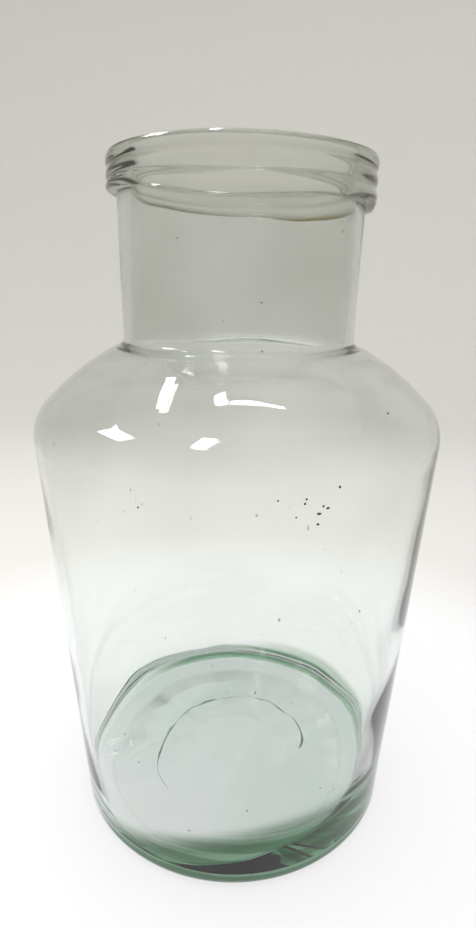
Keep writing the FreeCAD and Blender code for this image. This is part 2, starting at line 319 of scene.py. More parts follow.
def vessel_outline(sizes):
    """Radius and height along one side of the vessel, as a closed loop.

    It starts in the middle of the underside, goes out and up the outside,
    over the rim, down the inside and ends in the middle of the floor.
    """
    height = sizes.height / MM
    base, body = sizes.base_radius / MM, sizes.body_radius / MM
    start, foot = sizes.shoulder_height / MM, sizes.neck_height / MM
    neck, wall = sizes.neck_radius / MM, sizes.neck_wall / MM
    thin, heel = sizes.body_wall / MM, sizes.heel_wall / MM
    push, bottom = sizes.push_up / MM, sizes.base_thickness / MM
    lean = math.atan2(body - base, start)
    ring = (base - REST_SET_IN, 0.0)
    plateau = (FLAT_MIDDLE, push)
    heel_corner = (base, 0.0)
    top = (body, start)
    neck_top = (neck + NECK_FLARE, height)
    bore = neck - wall
    under = [
        stretch((0, push), (20, push), 8),
        corner((0, push), plateau, ring, ROUND["underside"], 6),
        stretch((29, push * 0.88), (62.5, push * 0.07), 12),
        corner(plateau, ring, heel_corner, ROUND["ring"], 5),
        stretch((base - 14.5, 0), (base - 8.2, 0), 4),
        corner(ring, heel_corner, top, ROUND["heel"], 12),
    ]
    side = [
        stretch((base + 0.55, 10), (body - 0.3, start - 4), 62),
        shoulder(top, lean, *SHOULDER_OUT, np.array([neck, foot]),
                 (26, 16))[:-2],
        corner((neck + 8.0, foot - 5.6), (neck, foot), neck_top,
               ROUND["neck_out"], 7),
        stretch((neck + 0.1, foot + 4), (neck + 1.42, height - 4.4), 28),
    ]
    rim = [
        corner((neck + 1.4, height - 9), neck_top, (bore, height),
               ROUND["rim_out"], 9),
        corner(neck_top, (bore, height), (bore, height - 9),
               ROUND["rim_in"], 9),
    ]
    inner_top = (body - thin, start)
    inner_foot = (base - heel, FLOOR_EDGE)
    dish = (FLOOR_MIDDLE, push + bottom + FLOOR_EXTRA)
    neck_inside = np.array([bore, foot - thin / 2])
    inner_lean = math.atan2(inner_top[0] - inner_foot[0],
                            start - FLOOR_EDGE)
    inside = [
        stretch((bore, height - 3), (bore, foot + 6), 26),
        corner((bore, height), tuple(neck_inside),
               (bore + 8, foot - thin / 2 - 6), ROUND["neck_in"], 7),
        shoulder(inner_top, inner_lean, *SHOULDER_IN, neck_inside,
                 (22, 14))[::-1][2:],
        stretch((inner_top[0] - 0.3, start - 4), (inner_foot[0] + 0.8, 28),
                56),
        corner(inner_top, inner_foot, dish, ROUND["floor_edge"], 12),
        stretch((inner_foot[0] - 4.5, FLOOR_EDGE - 0.29),
                (dish[0] + 8, dish[1] + 0.52), 16),
        corner(inner_foot, dish, (0, dish[1]), ROUND["floor_middle"], 6),
        stretch((dish[0] - 5, dish[1]), (0, dish[1]), 5),
    ]
    return np.concatenate(under + side + rim + inside)


def wander(angle, height, seed, rows):
    """Smooth unevenness: a sum of sine waves in angle and height.

    Each row is (waves round the jar, waves for each metre of height, depth in
    millimetres), and every wave starts at its own place.
    """
    start = np.random.default_rng(seed).uniform(0, 2 * math.pi, len(rows))
    total = np.zeros(np.broadcast(angle, height).shape)
    for (turns, rises, depth), phase in zip(rows, start):
        slope = 2 * math.pi * rises * MM
        total = total + depth * np.sin(turns * angle + slope * height + phase)
    return total


OUTER_WAVES = [(2, 1.2, 0.10), (3, 2.5, 0.07), (4, 7.0, 0.050),
               (5, 4.0, 0.040), (7, 11.0, 0.022), (9, -6.0, 0.016),
               (13, 3.0, 0.010), (1, 16.0, 0.045), (0, 23.0, 0.030)]
INNER_WAVES = [(1, 2.2, 0.16), (2, 3.4, 0.08), (3, -5.0, 0.05),
               (4, 6.0, 0.036), (6, 9.0, 0.020), (8, -12.0, 0.011),
               (11, 4.0, 0.006), (0, 19.0, 0.024), (1, -27.0, 0.012)]
FLOOR_EDGE_WAVES = [(5, 0, 0.7), (8, 0, 0.5), (13, 0, 0.3), (21, 0, 0.15)]
LIP_EDGE_WAVES = [(4, 0, 0.35), (7, 0, 0.2), (11, 0, 0.12)]
LIP_REACH_WAVES = [(2, 0, 0.07), (5, 0, 0.05), (9, 0, 0.03)]


def smooth(value, low, high):
    """A soft step from 0 at low to 1 at high: 3 t^2 - 2 t^3."""
    t = np.clip((value - low) / (high - low), 0, 1)
    return t * t * (3 - 2 * t)


def floor_edge(angle):
    """How far the edge of the floor runs above its mean height.

    The glass gathered unevenly: thick at the right and, less so, at the back
    left, and thin at the front left. Long waves describe that, and shorter
    ones roughen it.
    """
    return (5.2 * np.sin(angle) - 4.0 * np.cos(angle)
            + 5.6 * np.sin(2 * angle) - 2.4 * np.cos(2 * angle)
            + wander(angle, 0.0, STARTS["floor_edge"], FLOOR_EDGE_WAVES))


def lean_over(points, sizes):
    """Drift to the side that grows with the cube of the height."""
    drift = sizes.lean / MM * (points[..., 2] / (sizes.height / MM)) ** 3
    points[..., 0] += drift
    return points


def neck_outside(angle, height, sizes):
    """Outside radius of the uneven neck at an angle and a height."""
    neck, foot = sizes.neck_radius / MM, sizes.neck_height / MM
    rise = (height - foot) / (sizes.height / MM - foot)
    waves = sizes.waviness * wander(angle, height, STARTS["outside"],
                                    OUTER_WAVES)
    return neck + NECK_FLARE * rise + waves


def vessel_points(sizes, around):
    """The outline turned round the axis, each point moved along its normal.

    Outside and inside have their own unevenness, with fine wrinkles on the
    shoulder just under the neck. It fades out on the resting ring, at the
    poles and at the rim's top, which sinks a little. The floor is raised and
    lowered round the jar, most at its edge, and has a fine roughness too.
    """
    line = vessel_outline(sizes)
    step = np.gradient(line, axis=0)
    normal = np.stack([step[:, 1], -step[:, 0]], axis=1)
    normal /= np.linalg.norm(normal, axis=1)[:, None]
    angle = np.linspace(0, 2 * math.pi, around, endpoint=False)[None, :]
    radius, height = line[:, :1], line[:, 1:]
    top = int(np.argmax(line[:, 1]))
    inside = (np.arange(len(line)) > top)[:, None]
    waves = np.where(
        inside, wander(angle, height, STARTS["inside"], INNER_WAVES),
        wander(angle, height, STARTS["outside"], OUTER_WAVES))
    waves *= sizes.waviness * smooth(radius, 4, 40)
    waves *= np.where(inside, 1.0, smooth(height, 2, 14))
    foot = sizes.neck_height / MM
    wrinkled = smooth(height, foot - 22, foot - 8) * (
        1 - smooth(height, foot + 1, foot + 7))
    waves += 0.07 * sizes.waviness * wrinkled * np.where(
        inside, 0.3, 1.0) * np.sin(0.85 * height + 1.2 * np.sin(2 * angle)
                                   + 0.8 * np.sin(5 * angle + 1))
    spread = np.clip(radius / 72, 0, 1) ** 1.3 * (
        1 - smooth(height, 27, 90))
    edge = np.where(inside, spread, 0.0) * floor_edge(angle)
    floor = inside & (height < 30)
    rough = 0.35 * wander(2 * angle, 4 * radius, STARTS["floor"],
                          INNER_WAVES)
    waves += np.where(floor, rough, 0.0) * smooth(radius, 4, 30)
    rim = smooth(height, sizes.height / MM - 12, sizes.height / MM)
    sunk = 0.35 + 0.35 * np.sin(angle + 0.6) + 0.2 * np.sin(3 * angle)
    radius = radius + waves * normal[:, :1]
    height = height + waves * normal[:, 1:] * (1 - rim) - rim * (sunk + 0.3)
    height = height + edge
    return lean_over(np.stack([radius * np.cos(angle + FRONT),
                               radius * np.sin(angle + FRONT),
                               height + 0 * angle], axis=2), sizes)


def turned_mesh(points):
    """Vertices and faces of a turned surface whose two ends are poles."""
    rows, around = points.shape[:2]
    ring = np.arange(around)
    nxt = np.roll(ring, -1)
    body = points[1:-1].reshape(-1, 3)
    low, high = points[0].mean(0), points[-1].mean(0)
    base = (np.arange(rows - 3) * around)[:, None]
    quads = np.stack([base + ring, base + nxt, base + around + nxt,
                      base + around + ring], axis=2).reshape(-1, 4)
    south = len(body)
    north = south + 1
    last = (rows - 3) * around
    caps = np.concatenate([
        np.stack([np.full(around, south), nxt, ring], axis=1),
        np.stack([last + ring, last + nxt, np.full(around, north)], axis=1)])
    return np.concatenate([body, [low, high]]), quads, caps


def tube_faces(rows, around):
    """Quads of a grid that closes on itself both ways."""
    i = np.arange(rows)[:, None]
    j = np.arange(around)[None, :]
    k, m = (i + 1) % rows, (j + 1) % around
    return np.stack([i * around + j, i * around + m, k * around + m,
                     k * around + j], axis=2).reshape(-1, 4)


def ellipsoids(centres, axes, rings, sides, hollow):
    """Small closed ellipsoids, each turned with the wall it sits in.

    A point is centre + a cos u cos v along the wall, b sin u cos v upwards
    and c sin v through the wall. A hollow one faces its own middle.
    """
    v = np.linspace(-0.5 * math.pi, 0.5 * math.pi, rings + 2)[1:-1, None]
    u = np.linspace(0, 2 * math.pi, sides, endpoint=False)[None, :]
    unit = np.stack([np.cos(u) * np.cos(v), np.sin(u) * np.cos(v),
                     np.sin(v) + 0 * u], axis=2).reshape(-1, 3)
    unit = np.concatenate([unit, [[0, 0, -1], [0, 0, 1]]])
    out = centres * [1, 1, 0]
    out /= np.linalg.norm(out, axis=1)[:, None]
    along = np.stack([-out[:, 1], out[:, 0], 0 * out[:, 0]], axis=1)
    up = np.tile([0.0, 0.0, 1.0], (len(centres), 1))
    turn = np.stack([along, up, out], axis=1)
    local = unit[None] * axes[:, None]
    points = centres[:, None] + np.einsum("nij,njk->nik", local, turn)
    ring = np.arange(sides)
    nxt = np.roll(ring, -1)
    base = (np.arange(rings - 1) * sides)[:, None]
    quads = np.stack([base + ring, base + nxt, base + sides + nxt,
                      base + sides + ring], axis=2).reshape(-1, 4)
    low, high, last = rings * sides, rings * sides + 1, (rings - 1) * sides
    caps = np.concatenate([
        np.stack([np.full(sides, low), nxt, ring], axis=1),
        np.stack([last + ring, last + nxt, np.full(sides, high)], axis=1)])
    if hollow:
        quads, caps = quads[:, ::-1], caps[:, ::-1]
    shift = (np.arange(len(centres)) * len(unit))[:, None, None]
    return (points.reshape(-1, 3), (quads[None] + shift).reshape(-1, 4),
            (caps[None] + shift).reshape(-1, 3))


def seed_places(sizes):
    """Places and half axes of the seeds, in the middle of the body's wall."""
    rng = np.random.default_rng(STARTS["seeds"])
    count = sizes.seeds
    height = rng.uniform(34, 190, count)
    angle = rng.uniform(0, 2 * math.pi, count) + FRONT
    rise = height / (sizes.shoulder_height / MM)
    outer = (sizes.base_radius + rise * (sizes.body_radius
                                         - sizes.base_radius)) / MM
    wall = (sizes.heel_wall + rise * (sizes.body_wall
                                      - sizes.heel_wall)) / MM
    radius = outer - 0.5 * wall
    centres = np.stack([radius * np.cos(angle), radius * np.sin(angle),
                        height], axis=1)
    size = rng.uniform(0.22, 0.5, count)
    long = size * rng.uniform(1.0, 2.6, count)
    axes = np.stack([size, long, size * 0.62], axis=1)
    return lean_over(centres, sizes), axes


def stone_places(sizes):
    """Places and half axes of the dark stones, in the outer half of the wall.

    Most lie in a loose cluster under the shoulder, right of the front, and
    three lie apart: on the left, on the shoulder and in the neck.
    """
    rng = np.random.default_rng(STARTS["stones"])
    count = sizes.stones
    turn = np.radians(np.append(rng.normal(17, 5, count), [-22, 43, 9]))
    height = np.append(rng.normal(190, 3, count), [189, 219, 260])
    line = vessel_outline(sizes)
    side = line[:int(np.argmax(line[:, 1]))]
    side = side[side[:, 1] > 12]
    radius = np.interp(height, side[:, 1], side[:, 0]) - 1.3
    centres = np.stack([radius * np.cos(turn + FRONT),
                        radius * np.sin(turn + FRONT), height], axis=1)
    size = rng.uniform(0.25, 0.55, len(height))
    axes = np.stack([size * rng.uniform(0.8, 1.8, len(height)), size,
                     0.6 * size], axis=1)
    return lean_over(centres, sizes), axes


def lip_points(jar, lip, around, along):
    """The lip's section carried round the neck.

    The outside is three bulges side by side. Each is its share of
    reach * (1 - t^2)^0.5, where t is 0 in the middle of the turn and 1 well
    past its edge, so neighbours overlap and the grooves keep a part of the
    reach. The inside follows the neck's outside, a little way into the glass,
    so the two are melted together. The grooves and the lower edge drift with
    the angle. The painted shade that goes with the points is thickest in the
    grooves at the sides and along the lower edge, left and right of the back.
    """
    angle = np.linspace(0, 2 * math.pi, around, endpoint=False)[:, None]
    turned = (angle + math.pi) % (2 * math.pi) - math.pi
    height = jar.height / MM
    top = height - 1.1 - 0.4 * np.sin(angle + 0.6) - 0.2 * np.sin(3 * angle)
    first = (lip.upper_groove / MM - 0.55 * np.sin(angle - 0.5)
             + 0.35 * np.sin(2 * angle + 1.0))
    second = (lip.lower_groove / MM - 0.9 * np.sin(angle - 0.2)
              + 0.5 * np.sin(2 * angle + 2.4) + 0.25 * np.sin(5 * angle))
    low = (lip.lower_edge / MM - 2.0 * np.sin(angle)
           - lip.sag / MM * np.exp(-0.5 * ((turned + 0.05) / 0.40) ** 2)
           - 2.2 * np.exp(-0.5 * ((turned - 1.75) / 0.5) ** 2)
           + wander(angle, 0.0, STARTS["lip_edge"], LIP_EDGE_WAVES))
    share = 0.5 - 0.5 * np.cos(np.linspace(0, math.pi, along))[None, :]
    z = low + share * (top - low)
    reach = lip.reach / MM * (
        1 + wander(angle, 0.0, STARTS["lip_reach"], LIP_REACH_WAVES))
    edges = (low, second, first, top)
    swell = (1.0, 0.93, 0.90)
    total = np.zeros(z.shape)
    for bottom, above, size in zip(edges[:-1], edges[1:], swell):
        middle, half = 0.5 * (bottom + above), 0.5 * (above - bottom)
        t = (z - middle) / (half * (1.55 + 0.25 * np.cos(0.5 * turned) ** 6))
        bulge = size * np.sqrt(np.clip(1 - t * t, 0, None))
        total = (total ** 7 + bulge ** 7) ** (1 / 7)
    ends = smooth(share, 0.0, 0.012) * smooth(1 - share, 0.0, 0.012)
    outside = neck_outside(angle, z, jar) - 0.08 + reach * total * ends
    back = z[:, ::-3][:, 1:-1]
    inside = neck_outside(angle, back, jar) - 0.08
    radius = np.concatenate([outside, inside], axis=1)
    z = np.concatenate([z, back], axis=1)
    points = np.stack([radius * np.cos(angle + FRONT),
                       radius * np.sin(angle + FRONT), z], axis=2)
    # Painted shade: darker in the grooves at the sides and along the lower edge, left and
    # right of the back.
    crease = smooth(1 - total, 0.06, 0.30) * (0.2 + 0.8 * np.sin(turned) ** 2)
    under = (1 - smooth(share, 0.04, 0.22)) * (0.12 + 0.88 * np.exp(
        -0.5 * ((np.abs(turned) - 2.2) / 0.6) ** 2))
    lip_shade = np.concatenate([np.clip(crease + under, 0, 1), 0 * back], axis=1)
    return lean_over(points, jar), lip_shade


def scar_points(jar, scar, along, around):
    """A ragged bead bent into part of a circle, torn thin in places.

    Its section is half an ellipse, hanging down, with an almost flat top just
    inside the base. Width and depth change along the arc, almost to nothing
    where the glass tore clean away. The arc wanders off its circle a little.
    """
    rng = np.random.default_rng(STARTS["scar"])
    t = np.linspace(0, 1, along)[:, None]
    turn = scar.sweep * (t - 0.5) + math.radians(195)
    torn = 0.5 + 0.5 * np.sin(17 * t + 1.1) * np.cos(7 * t)
    torn = np.clip(torn + 0.18 * np.sin(61 * t) + rng.normal(0, 0.05, t.shape),
                   0.05, 1.0) ** 2
    ends = np.sqrt(np.clip(1 - (2 * t - 1) ** 16, 0, 1))
    width = 0.5 * scar.width / MM * (0.05 + 0.40 * torn) * ends
    depth = scar.depth / MM * (0.06 + 0.50 * torn) * ends
    middle = (scar.radius / MM + 1.9 * np.sin(8 * t) + 0.8 * np.sin(23 * t)
              + 0.35 * np.sin(51 * t))
    u = np.linspace(0, 2 * math.pi, around, endpoint=False)[None, :]
    radius = middle + width * np.cos(u)
    low = np.minimum(np.sin(u), 0)
    ring = jar.base_radius / MM - REST_SET_IN
    rise = np.clip((ring - radius) / (ring - FLAT_MIDDLE), 0, 1)
    under = jar.push_up / MM * rise
    z = under + 0.07 + depth * low + 0.05 * np.sin(u)
    return np.stack([radius * np.cos(turn + FRONT),
                     radius * np.sin(turn + FRONT),
                     z + 0 * turn], axis=2)


# ---------------------------------------------------------------- meshes

def make_piece(name, points, groups, finishes, node):
    """A smooth mesh from points in millimetres, riding on the jar's body.

    There is one group of face arrays for each finish.
    """
    mesh = bpy.data.meshes.new(name)
    mesh.from_pydata((points * MM).tolist(), [],
                     [face for group in groups for part in group
                      for face in part.tolist()])
    owner = [np.full(len(part), index, np.int32)
             for index, group in enumerate(groups) for part in group]
    mesh.polygons.foreach_set("material_index", np.concatenate(owner))
    mesh.validate()
    mesh.polygons.foreach_set("use_smooth",
                              np.ones(len(mesh.polygons), bool))
    for finish in finishes:
        mesh.materials.append(finish)
    mesh.update()
    piece = bpy.data.objects.new(name, mesh)
    bpy.context.scene.collection.objects.link(piece)
    # The glass casts no shadow of its own.
    piece.visible_shadow = False
    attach(piece, "root")
    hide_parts(node)
    return piece


def joined(*parts):
    """One set of points and faces from several."""
    points, quads, caps, shift = [], [], [], 0
    for part_points, part_quads, part_caps in parts:
        points.append(part_points)
        quads.append(part_quads + shift)
        caps.append(part_caps + shift)
        shift += len(part_points)
    return np.concatenate(points), np.concatenate(quads), np.concatenate(caps)


# ---------------------------------------------------------------- finishes

def node_of(tree, kind, place, **values):
    """A node at a place in the tree, with its plain settings."""
    node = tree.nodes.new(kind)
    node.location = place
    for name, value in values.items():
        setattr(node, name, value)
    return node


def ramp_of(tree, place, source, stops):
    """A colour ramp of a value: two stops, each a position and a colour."""
    ramp = node_of(tree, "ShaderNodeValToRGB", place)
    for stop, (position, colour) in zip(ramp.color_ramp.elements, stops):
        stop.position = position
        stop.color = (*colour, 1)
    tree.links.new(source, ramp.inputs["Fac"])
    return ramp.outputs["Color"]


def glass_finish(name, tint, strength, rough, wave_size, wave_depth,
                 overlays=()):
    """Old blown glass: clear where it is thin, tinted where it is thick.

    Tiny dark specks and a thin dusty film colour it, fine rubbing makes it
    rougher in patches, and waves of the given size and depth bend its
    surface. Each overlay is a function that gives one more colour to multiply
    in; some of them are painted shade.
    """
    finish = bpy.data.materials.new(name)
    finish.use_nodes = True
    tree = finish.node_tree
    link = tree.links.new
    shader = tree.nodes["Principled BSDF"]
    shader.inputs["Transmission Weight"].default_value = 1.0
    shader.inputs["IOR"].default_value = 1.5
    place = node_of(tree, "ShaderNodeTexCoord", (-1200, 0))
    grit = node_of(tree, "ShaderNodeTexVoronoi", (-900, 320))
    grit.inputs["Scale"].default_value = 46.0
    link(place.outputs["Object"], grit.inputs["Vector"])
    speck = ramp_of(tree, (-650, 320), grit.outputs["Distance"],
                    ((0.018, (0.10, 0.09, 0.06)), (0.030, (1, 1, 1))))
    film = node_of(tree, "ShaderNodeTexNoise", (-900, 60))
    film.inputs["Scale"].default_value = 14.0
    film.inputs["Detail"].default_value = 6.0
    link(place.outputs["Object"], film.inputs["Vector"])
    dust = ramp_of(tree, (-650, 60), film.outputs["Fac"],
                   ((0.30, (0.985, 0.985, 0.982)),
                    (0.80, (0.950, 0.950, 0.944))))
    colour = node_of(tree, "ShaderNodeMix", (-350, 200), data_type="RGBA",
                     blend_type="MULTIPLY")
    colour.inputs["Factor"].default_value = 1.0
    link(dust, colour.inputs["A"])
    link(speck, colour.inputs["B"])
    shade = colour.outputs["Result"]
    for row, overlay in enumerate(overlays):
        layer = node_of(tree, "ShaderNodeMix", (-150, 600 + 250 * row),
                        data_type="RGBA", blend_type="MULTIPLY")
        layer.inputs["Factor"].default_value = 1.0
        link(shade, layer.inputs["A"])
        link(overlay(tree, place.outputs["Object"]), layer.inputs["B"])
        shade = layer.outputs["Result"]
    link(shade, shader.inputs["Base Color"])
    rub = node_of(tree, "ShaderNodeMapRange", (-650, -160))
    rub.inputs["From Min"].default_value = 0.45
    rub.inputs["From Max"].default_value = 0.80
    rub.inputs["To Min"].default_value = 0.0
    rub.inputs["To Max"].default_value = rough
    link(film.outputs["Fac"], rub.inputs["Value"])
    link(rub.outputs["Result"], shader.inputs["Roughness"])
    ripple = node_of(tree, "ShaderNodeTexNoise", (-900, -380))
    ripple.inputs["Scale"].default_value = wave_size
    ripple.inputs["Detail"].default_value = 1.5
    link(place.outputs["Object"], ripple.inputs["Vector"])
    bump = node_of(tree, "ShaderNodeBump", (-350, -380))
    bump.inputs["Strength"].default_value = 1.0
    bump.inputs["Distance"].default_value = wave_depth
    link(ripple.outputs["Fac"], bump.inputs["Height"])
    link(bump.outputs["Normal"], shader.inputs["Normal"])
    depth = node_of(tree, "ShaderNodeVolumeAbsorption", (-100, -520))
    depth.inputs["Color"].default_value = (*tint, 1.0)
    depth.inputs["Density"].default_value = strength
    link(depth.outputs["Volume"],
         tree.nodes["Material Output"].inputs["Volume"])
    return finish


def step_of(tree, source, low, high, first, last):
    """A soft step of a value, from first at low to last at high."""
    step = node_of(tree, "ShaderNodeMapRange", (-700, 900),
                   interpolation_type="SMOOTHSTEP")
    for name, value in (("From Min", low), ("From Max", high),
                        ("To Min", first), ("To Max", last)):
        step.inputs[name].default_value = value
    tree.links.new(source, step.inputs["Value"])
    return step.outputs["Result"]


def reckon(tree, operation, *sources):
    """One step of arithmetic on values, given as sockets or numbers."""
    node = node_of(tree, "ShaderNodeMath", (-500, 900), operation=operation)
    for socket, source in zip(node.inputs, sources):
        if isinstance(source, (int, float)):
            socket.default_value = source
        else:
            tree.links.new(source, socket)
    return node.outputs["Value"]


def white_to(tree, amount, colour):
    """White where the amount is 0, the colour where it is 1."""
    fade = node_of(tree, "ShaderNodeMix", (-300, 900), data_type="RGBA")
    fade.inputs["A"].default_value = (1, 1, 1, 1)
    fade.inputs["B"].default_value = (*colour, 1)
    tree.links.new(amount, fade.inputs["Factor"])
    return fade.outputs["Result"]


def heel_shade_mask(tree, place):
    """Where the heel's painted shade lies: 1 low on the outside of the thick heel and 0
    elsewhere.

    The middle of its soft upper edge is at 0.024 - 0.09 y + 0.20 x - 1.9 x^2
    metres. It is highest at the front and the right and lower at the back.
    For about a quarter of the way round, on the left, there is almost none.
    """
    split = node_of(tree, "ShaderNodeSeparateXYZ", (-1000, 900))
    tree.links.new(place, split.inputs[0])
    x, y, z = split.outputs
    square = reckon(tree, "MULTIPLY", x, x)
    level = reckon(tree, "MULTIPLY_ADD", square, 1.9, z)
    level = reckon(tree, "MULTIPLY_ADD", x, -0.20, level)
    level = reckon(tree, "MULTIPLY_ADD", y, 0.09, level)
    low = step_of(tree, level, 0.018, 0.030, 1.0, 0.0)
    radius = reckon(tree, "SQRT", reckon(
        tree, "MULTIPLY_ADD", y, y, square))
    outer = step_of(tree, radius, 0.0775, 0.0795, 0.0, 1.0)
    return reckon(tree, "MULTIPLY", low, outer)


def heel_green_and_shade(tree, place):
    """The thick heel's own green, darkened into painted shade, except on the left."""
    return white_to(tree, heel_shade_mask(tree, place), (0.085, 0.240, 0.115))


def heel_shade_bands(tree, place):
    """Painted shade: darker green bands along the same part of the heel."""
    wave = node_of(tree, "ShaderNodeTexWave", (-900, 1200),
                   bands_direction="Z")
    wave.inputs["Scale"].default_value = 30.0
    wave.inputs["Distortion"].default_value = 1.2
    tree.links.new(place, wave.inputs["Vector"])
    bands = step_of(tree, wave.outputs["Fac"], 0.1, 0.6, 0.0, 1.0)
    amount = reckon(tree, "MULTIPLY", heel_shade_mask(tree, place), bands)
    return white_to(tree, amount, (0.12, 0.26, 0.14))


def neck_grey(tree, place):
    """A light grey over the neck, fading in from 0.225 to 0.25 metres up."""
    split = node_of(tree, "ShaderNodeSeparateXYZ", (-1000, 1400))
    tree.links.new(place, split.inputs[0])
    height = step_of(tree, split.outputs["Z"], 0.225, 0.25, 0.0, 1.0)
    return white_to(tree, height, (0.935, 0.935, 0.93))


def body_grey_patches(tree, place):
    """A smoky grey in broad soft patches, from the upper body up."""
    split = node_of(tree, "ShaderNodeSeparateXYZ", (-1000, 1700))
    tree.links.new(place, split.inputs[0])
    height = step_of(tree, split.outputs["Z"], 0.11, 0.19, 0.0, 1.0)
    patch = node_of(tree, "ShaderNodeTexNoise", (-1000, 1900))
    patch.inputs["Scale"].default_value = 9.0
    patch.inputs["Detail"].default_value = 2.0
    tree.links.new(place, patch.inputs["Vector"])
    cloud = step_of(tree, patch.outputs["Fac"], 0.36, 0.64, 0.0, 1.0)
    amount = reckon(tree, "MULTIPLY", height, cloud)
    return white_to(tree, amount, (0.89, 0.89, 0.88))


def painted_groove_shade(tree, place):
    """Painted olive shade, as thick as the lip's own painted shade layer says."""
    layer = node_of(tree, "ShaderNodeAttribute", (-700, 1200),
                    attribute_name="lip_shade")
    return white_to(tree, layer.outputs["Fac"], (0.17, 0.12, 0.0))


def stone_finish():
    """Dull dark stone: bits of furnace brick and unmelted batch."""
    finish = bpy.data.materials.new("dark_furnace_stone")
    finish.use_nodes = True
    tree = finish.node_tree
    shader = tree.nodes["Principled BSDF"]
    shader.inputs["Roughness"].default_value = 0.65
    place = node_of(tree, "ShaderNodeTexCoord", (-800, 0))
    grain = node_of(tree, "ShaderNodeTexNoise", (-600, 0))
    grain.inputs["Scale"].default_value = 1500.0
    tree.links.new(place.outputs["Object"], grain.inputs["Vector"])
    tone = ramp_of(tree, (-350, 0), grain.outputs["Fac"],
                   ((0.0, (0.012, 0.011, 0.009)),
                    (1.0, (0.07, 0.055, 0.035))))
    tree.links.new(tone, shader.inputs["Base Color"])
    return finish


def paper_finish(looks):
    """Matt pale paper with a faint fibre in its tone; a painted pool of light round the
    jar, with duller painted shade past it.
    """
    finish = bpy.data.materials.new("matt_pale_paper")
    finish.use_nodes = True
    tree = finish.node_tree
    shader = tree.nodes["Principled BSDF"]
    shader.inputs["Roughness"].default_value = 0.75
    shader.inputs["Specular IOR Level"].default_value = 0.15
    place = node_of(tree, "ShaderNodeTexCoord", (-900, 0))
    fibre = node_of(tree, "ShaderNodeTexNoise", (-650, 0))
    fibre.inputs["Scale"].default_value = 30.0
    fibre.inputs["Detail"].default_value = 5.0
    tree.links.new(place.outputs["Object"], fibre.inputs["Vector"])
    tone = ramp_of(tree, (-400, 0), fibre.outputs["Fac"],
                   ((0.0, (0.985, 0.985, 0.985)), (1.0, (1, 1, 1))))
    # Painted pool of light: the paper's colour near the jar, fading to the surround's
    # painted shade further out.
    reach = node_of(tree, "ShaderNodeVectorMath", (-650, 300),
                    operation="LENGTH")
    tree.links.new(place.outputs["Object"], reach.inputs[0])
    lit_sheet = node_of(tree, "ShaderNodeMapRange", (-400, 300),
                    interpolation_type="SMOOTHSTEP")
    lit_sheet.inputs["From Min"].default_value = looks.lit_sheet - 0.06
    lit_sheet.inputs["From Max"].default_value = looks.lit_sheet + 0.10
    tree.links.new(reach.outputs["Value"], lit_sheet.inputs["Value"])
    fade = node_of(tree, "ShaderNodeMix", (-200, 300), data_type="RGBA")
    fade.inputs["A"].default_value = (*looks.paper, 1)
    fade.inputs["B"].default_value = (*looks.shaded_surround, 1)
    tree.links.new(lit_sheet.outputs["Result"], fade.inputs["Factor"])
    colour = node_of(tree, "ShaderNodeMix", (0, 200), data_type="RGBA",
                     blend_type="MULTIPLY")
    colour.inputs["Factor"].default_value = 1.0
    tree.links.new(fade.outputs["Result"], colour.inputs["A"])
    tree.links.new(tone, colour.inputs["B"])
    tree.links.new(colour.outputs["Result"], shader.inputs["Base Color"])
    return finish


# ---------------------------------------------------------------- operators

class JAR_OT_blow_vessel(bpy.types.Operator):
    """Make the vessel with the seeds and stones in its uneven wall"""

    bl_idname = "jar.blow_vessel"
    bl_label = "Blow the vessel"

    def execute(self, context):
        sizes = context.scene.jar_sizes
        looks = context.scene.jar_glass
        points = vessel_points(sizes, VESSEL_AROUND)
        centres, axes = seed_places(sizes)
        parts = [turned_mesh(points)]
        if len(centres):
            parts.append(ellipsoids(centres, axes, *SPECK_MESH,
                                    hollow=True))
        glass = glass_finish(
            "clear_blown_glass", looks.tint, looks.strength, rough=0.035,
            wave_size=22.0, wave_depth=0.00006,
            overlays=(heel_green_and_shade, heel_shade_bands, neck_grey, body_grey_patches))
        points, quads, caps = joined(*parts)
        stones = ellipsoids(*stone_places(sizes), *SPECK_MESH, hollow=False)
        points, all_quads, all_caps = joined((points, quads, caps), stones)
        make_piece("blown_vessel", points,
                   [(quads, caps), (all_quads[len(quads):],
                                    all_caps[len(caps):])],
                   [glass, stone_finish()], "jar_vessel")
        return {"FINISHED"}


class JAR_OT_trail_lip(bpy.types.Operator):
    """Wind the three turns of glass round the top of the neck"""

    bl_idname = "jar.trail_lip"
    bl_label = "Trail the lip"

    def execute(self, context):
        jar, lip = context.scene.jar_sizes, context.scene.jar_lip
        looks = context.scene.jar_glass
        points, lip_shade = lip_points(jar, lip, *LIP_MESH)
        finish = glass_finish(
            "trailed_lip_glass", looks.lip_tint, looks.lip_strength,
            rough=0.03, wave_size=60.0, wave_depth=0.00008,
            overlays=(painted_groove_shade,))
        quads = tube_faces(*points.shape[:2])[:, ::-1]
        piece = make_piece("wound_lip", points.reshape(-1, 3), [(quads,)],
                           [finish], "lip_trail")
        # The lip's painted shade layer, for the olive darkening in its grooves and under
        # its edge.
        layer = piece.data.attributes.new("lip_shade", "FLOAT", "POINT")
        layer.data.foreach_set("value", lip_shade.ravel())
        return {"FINISHED"}


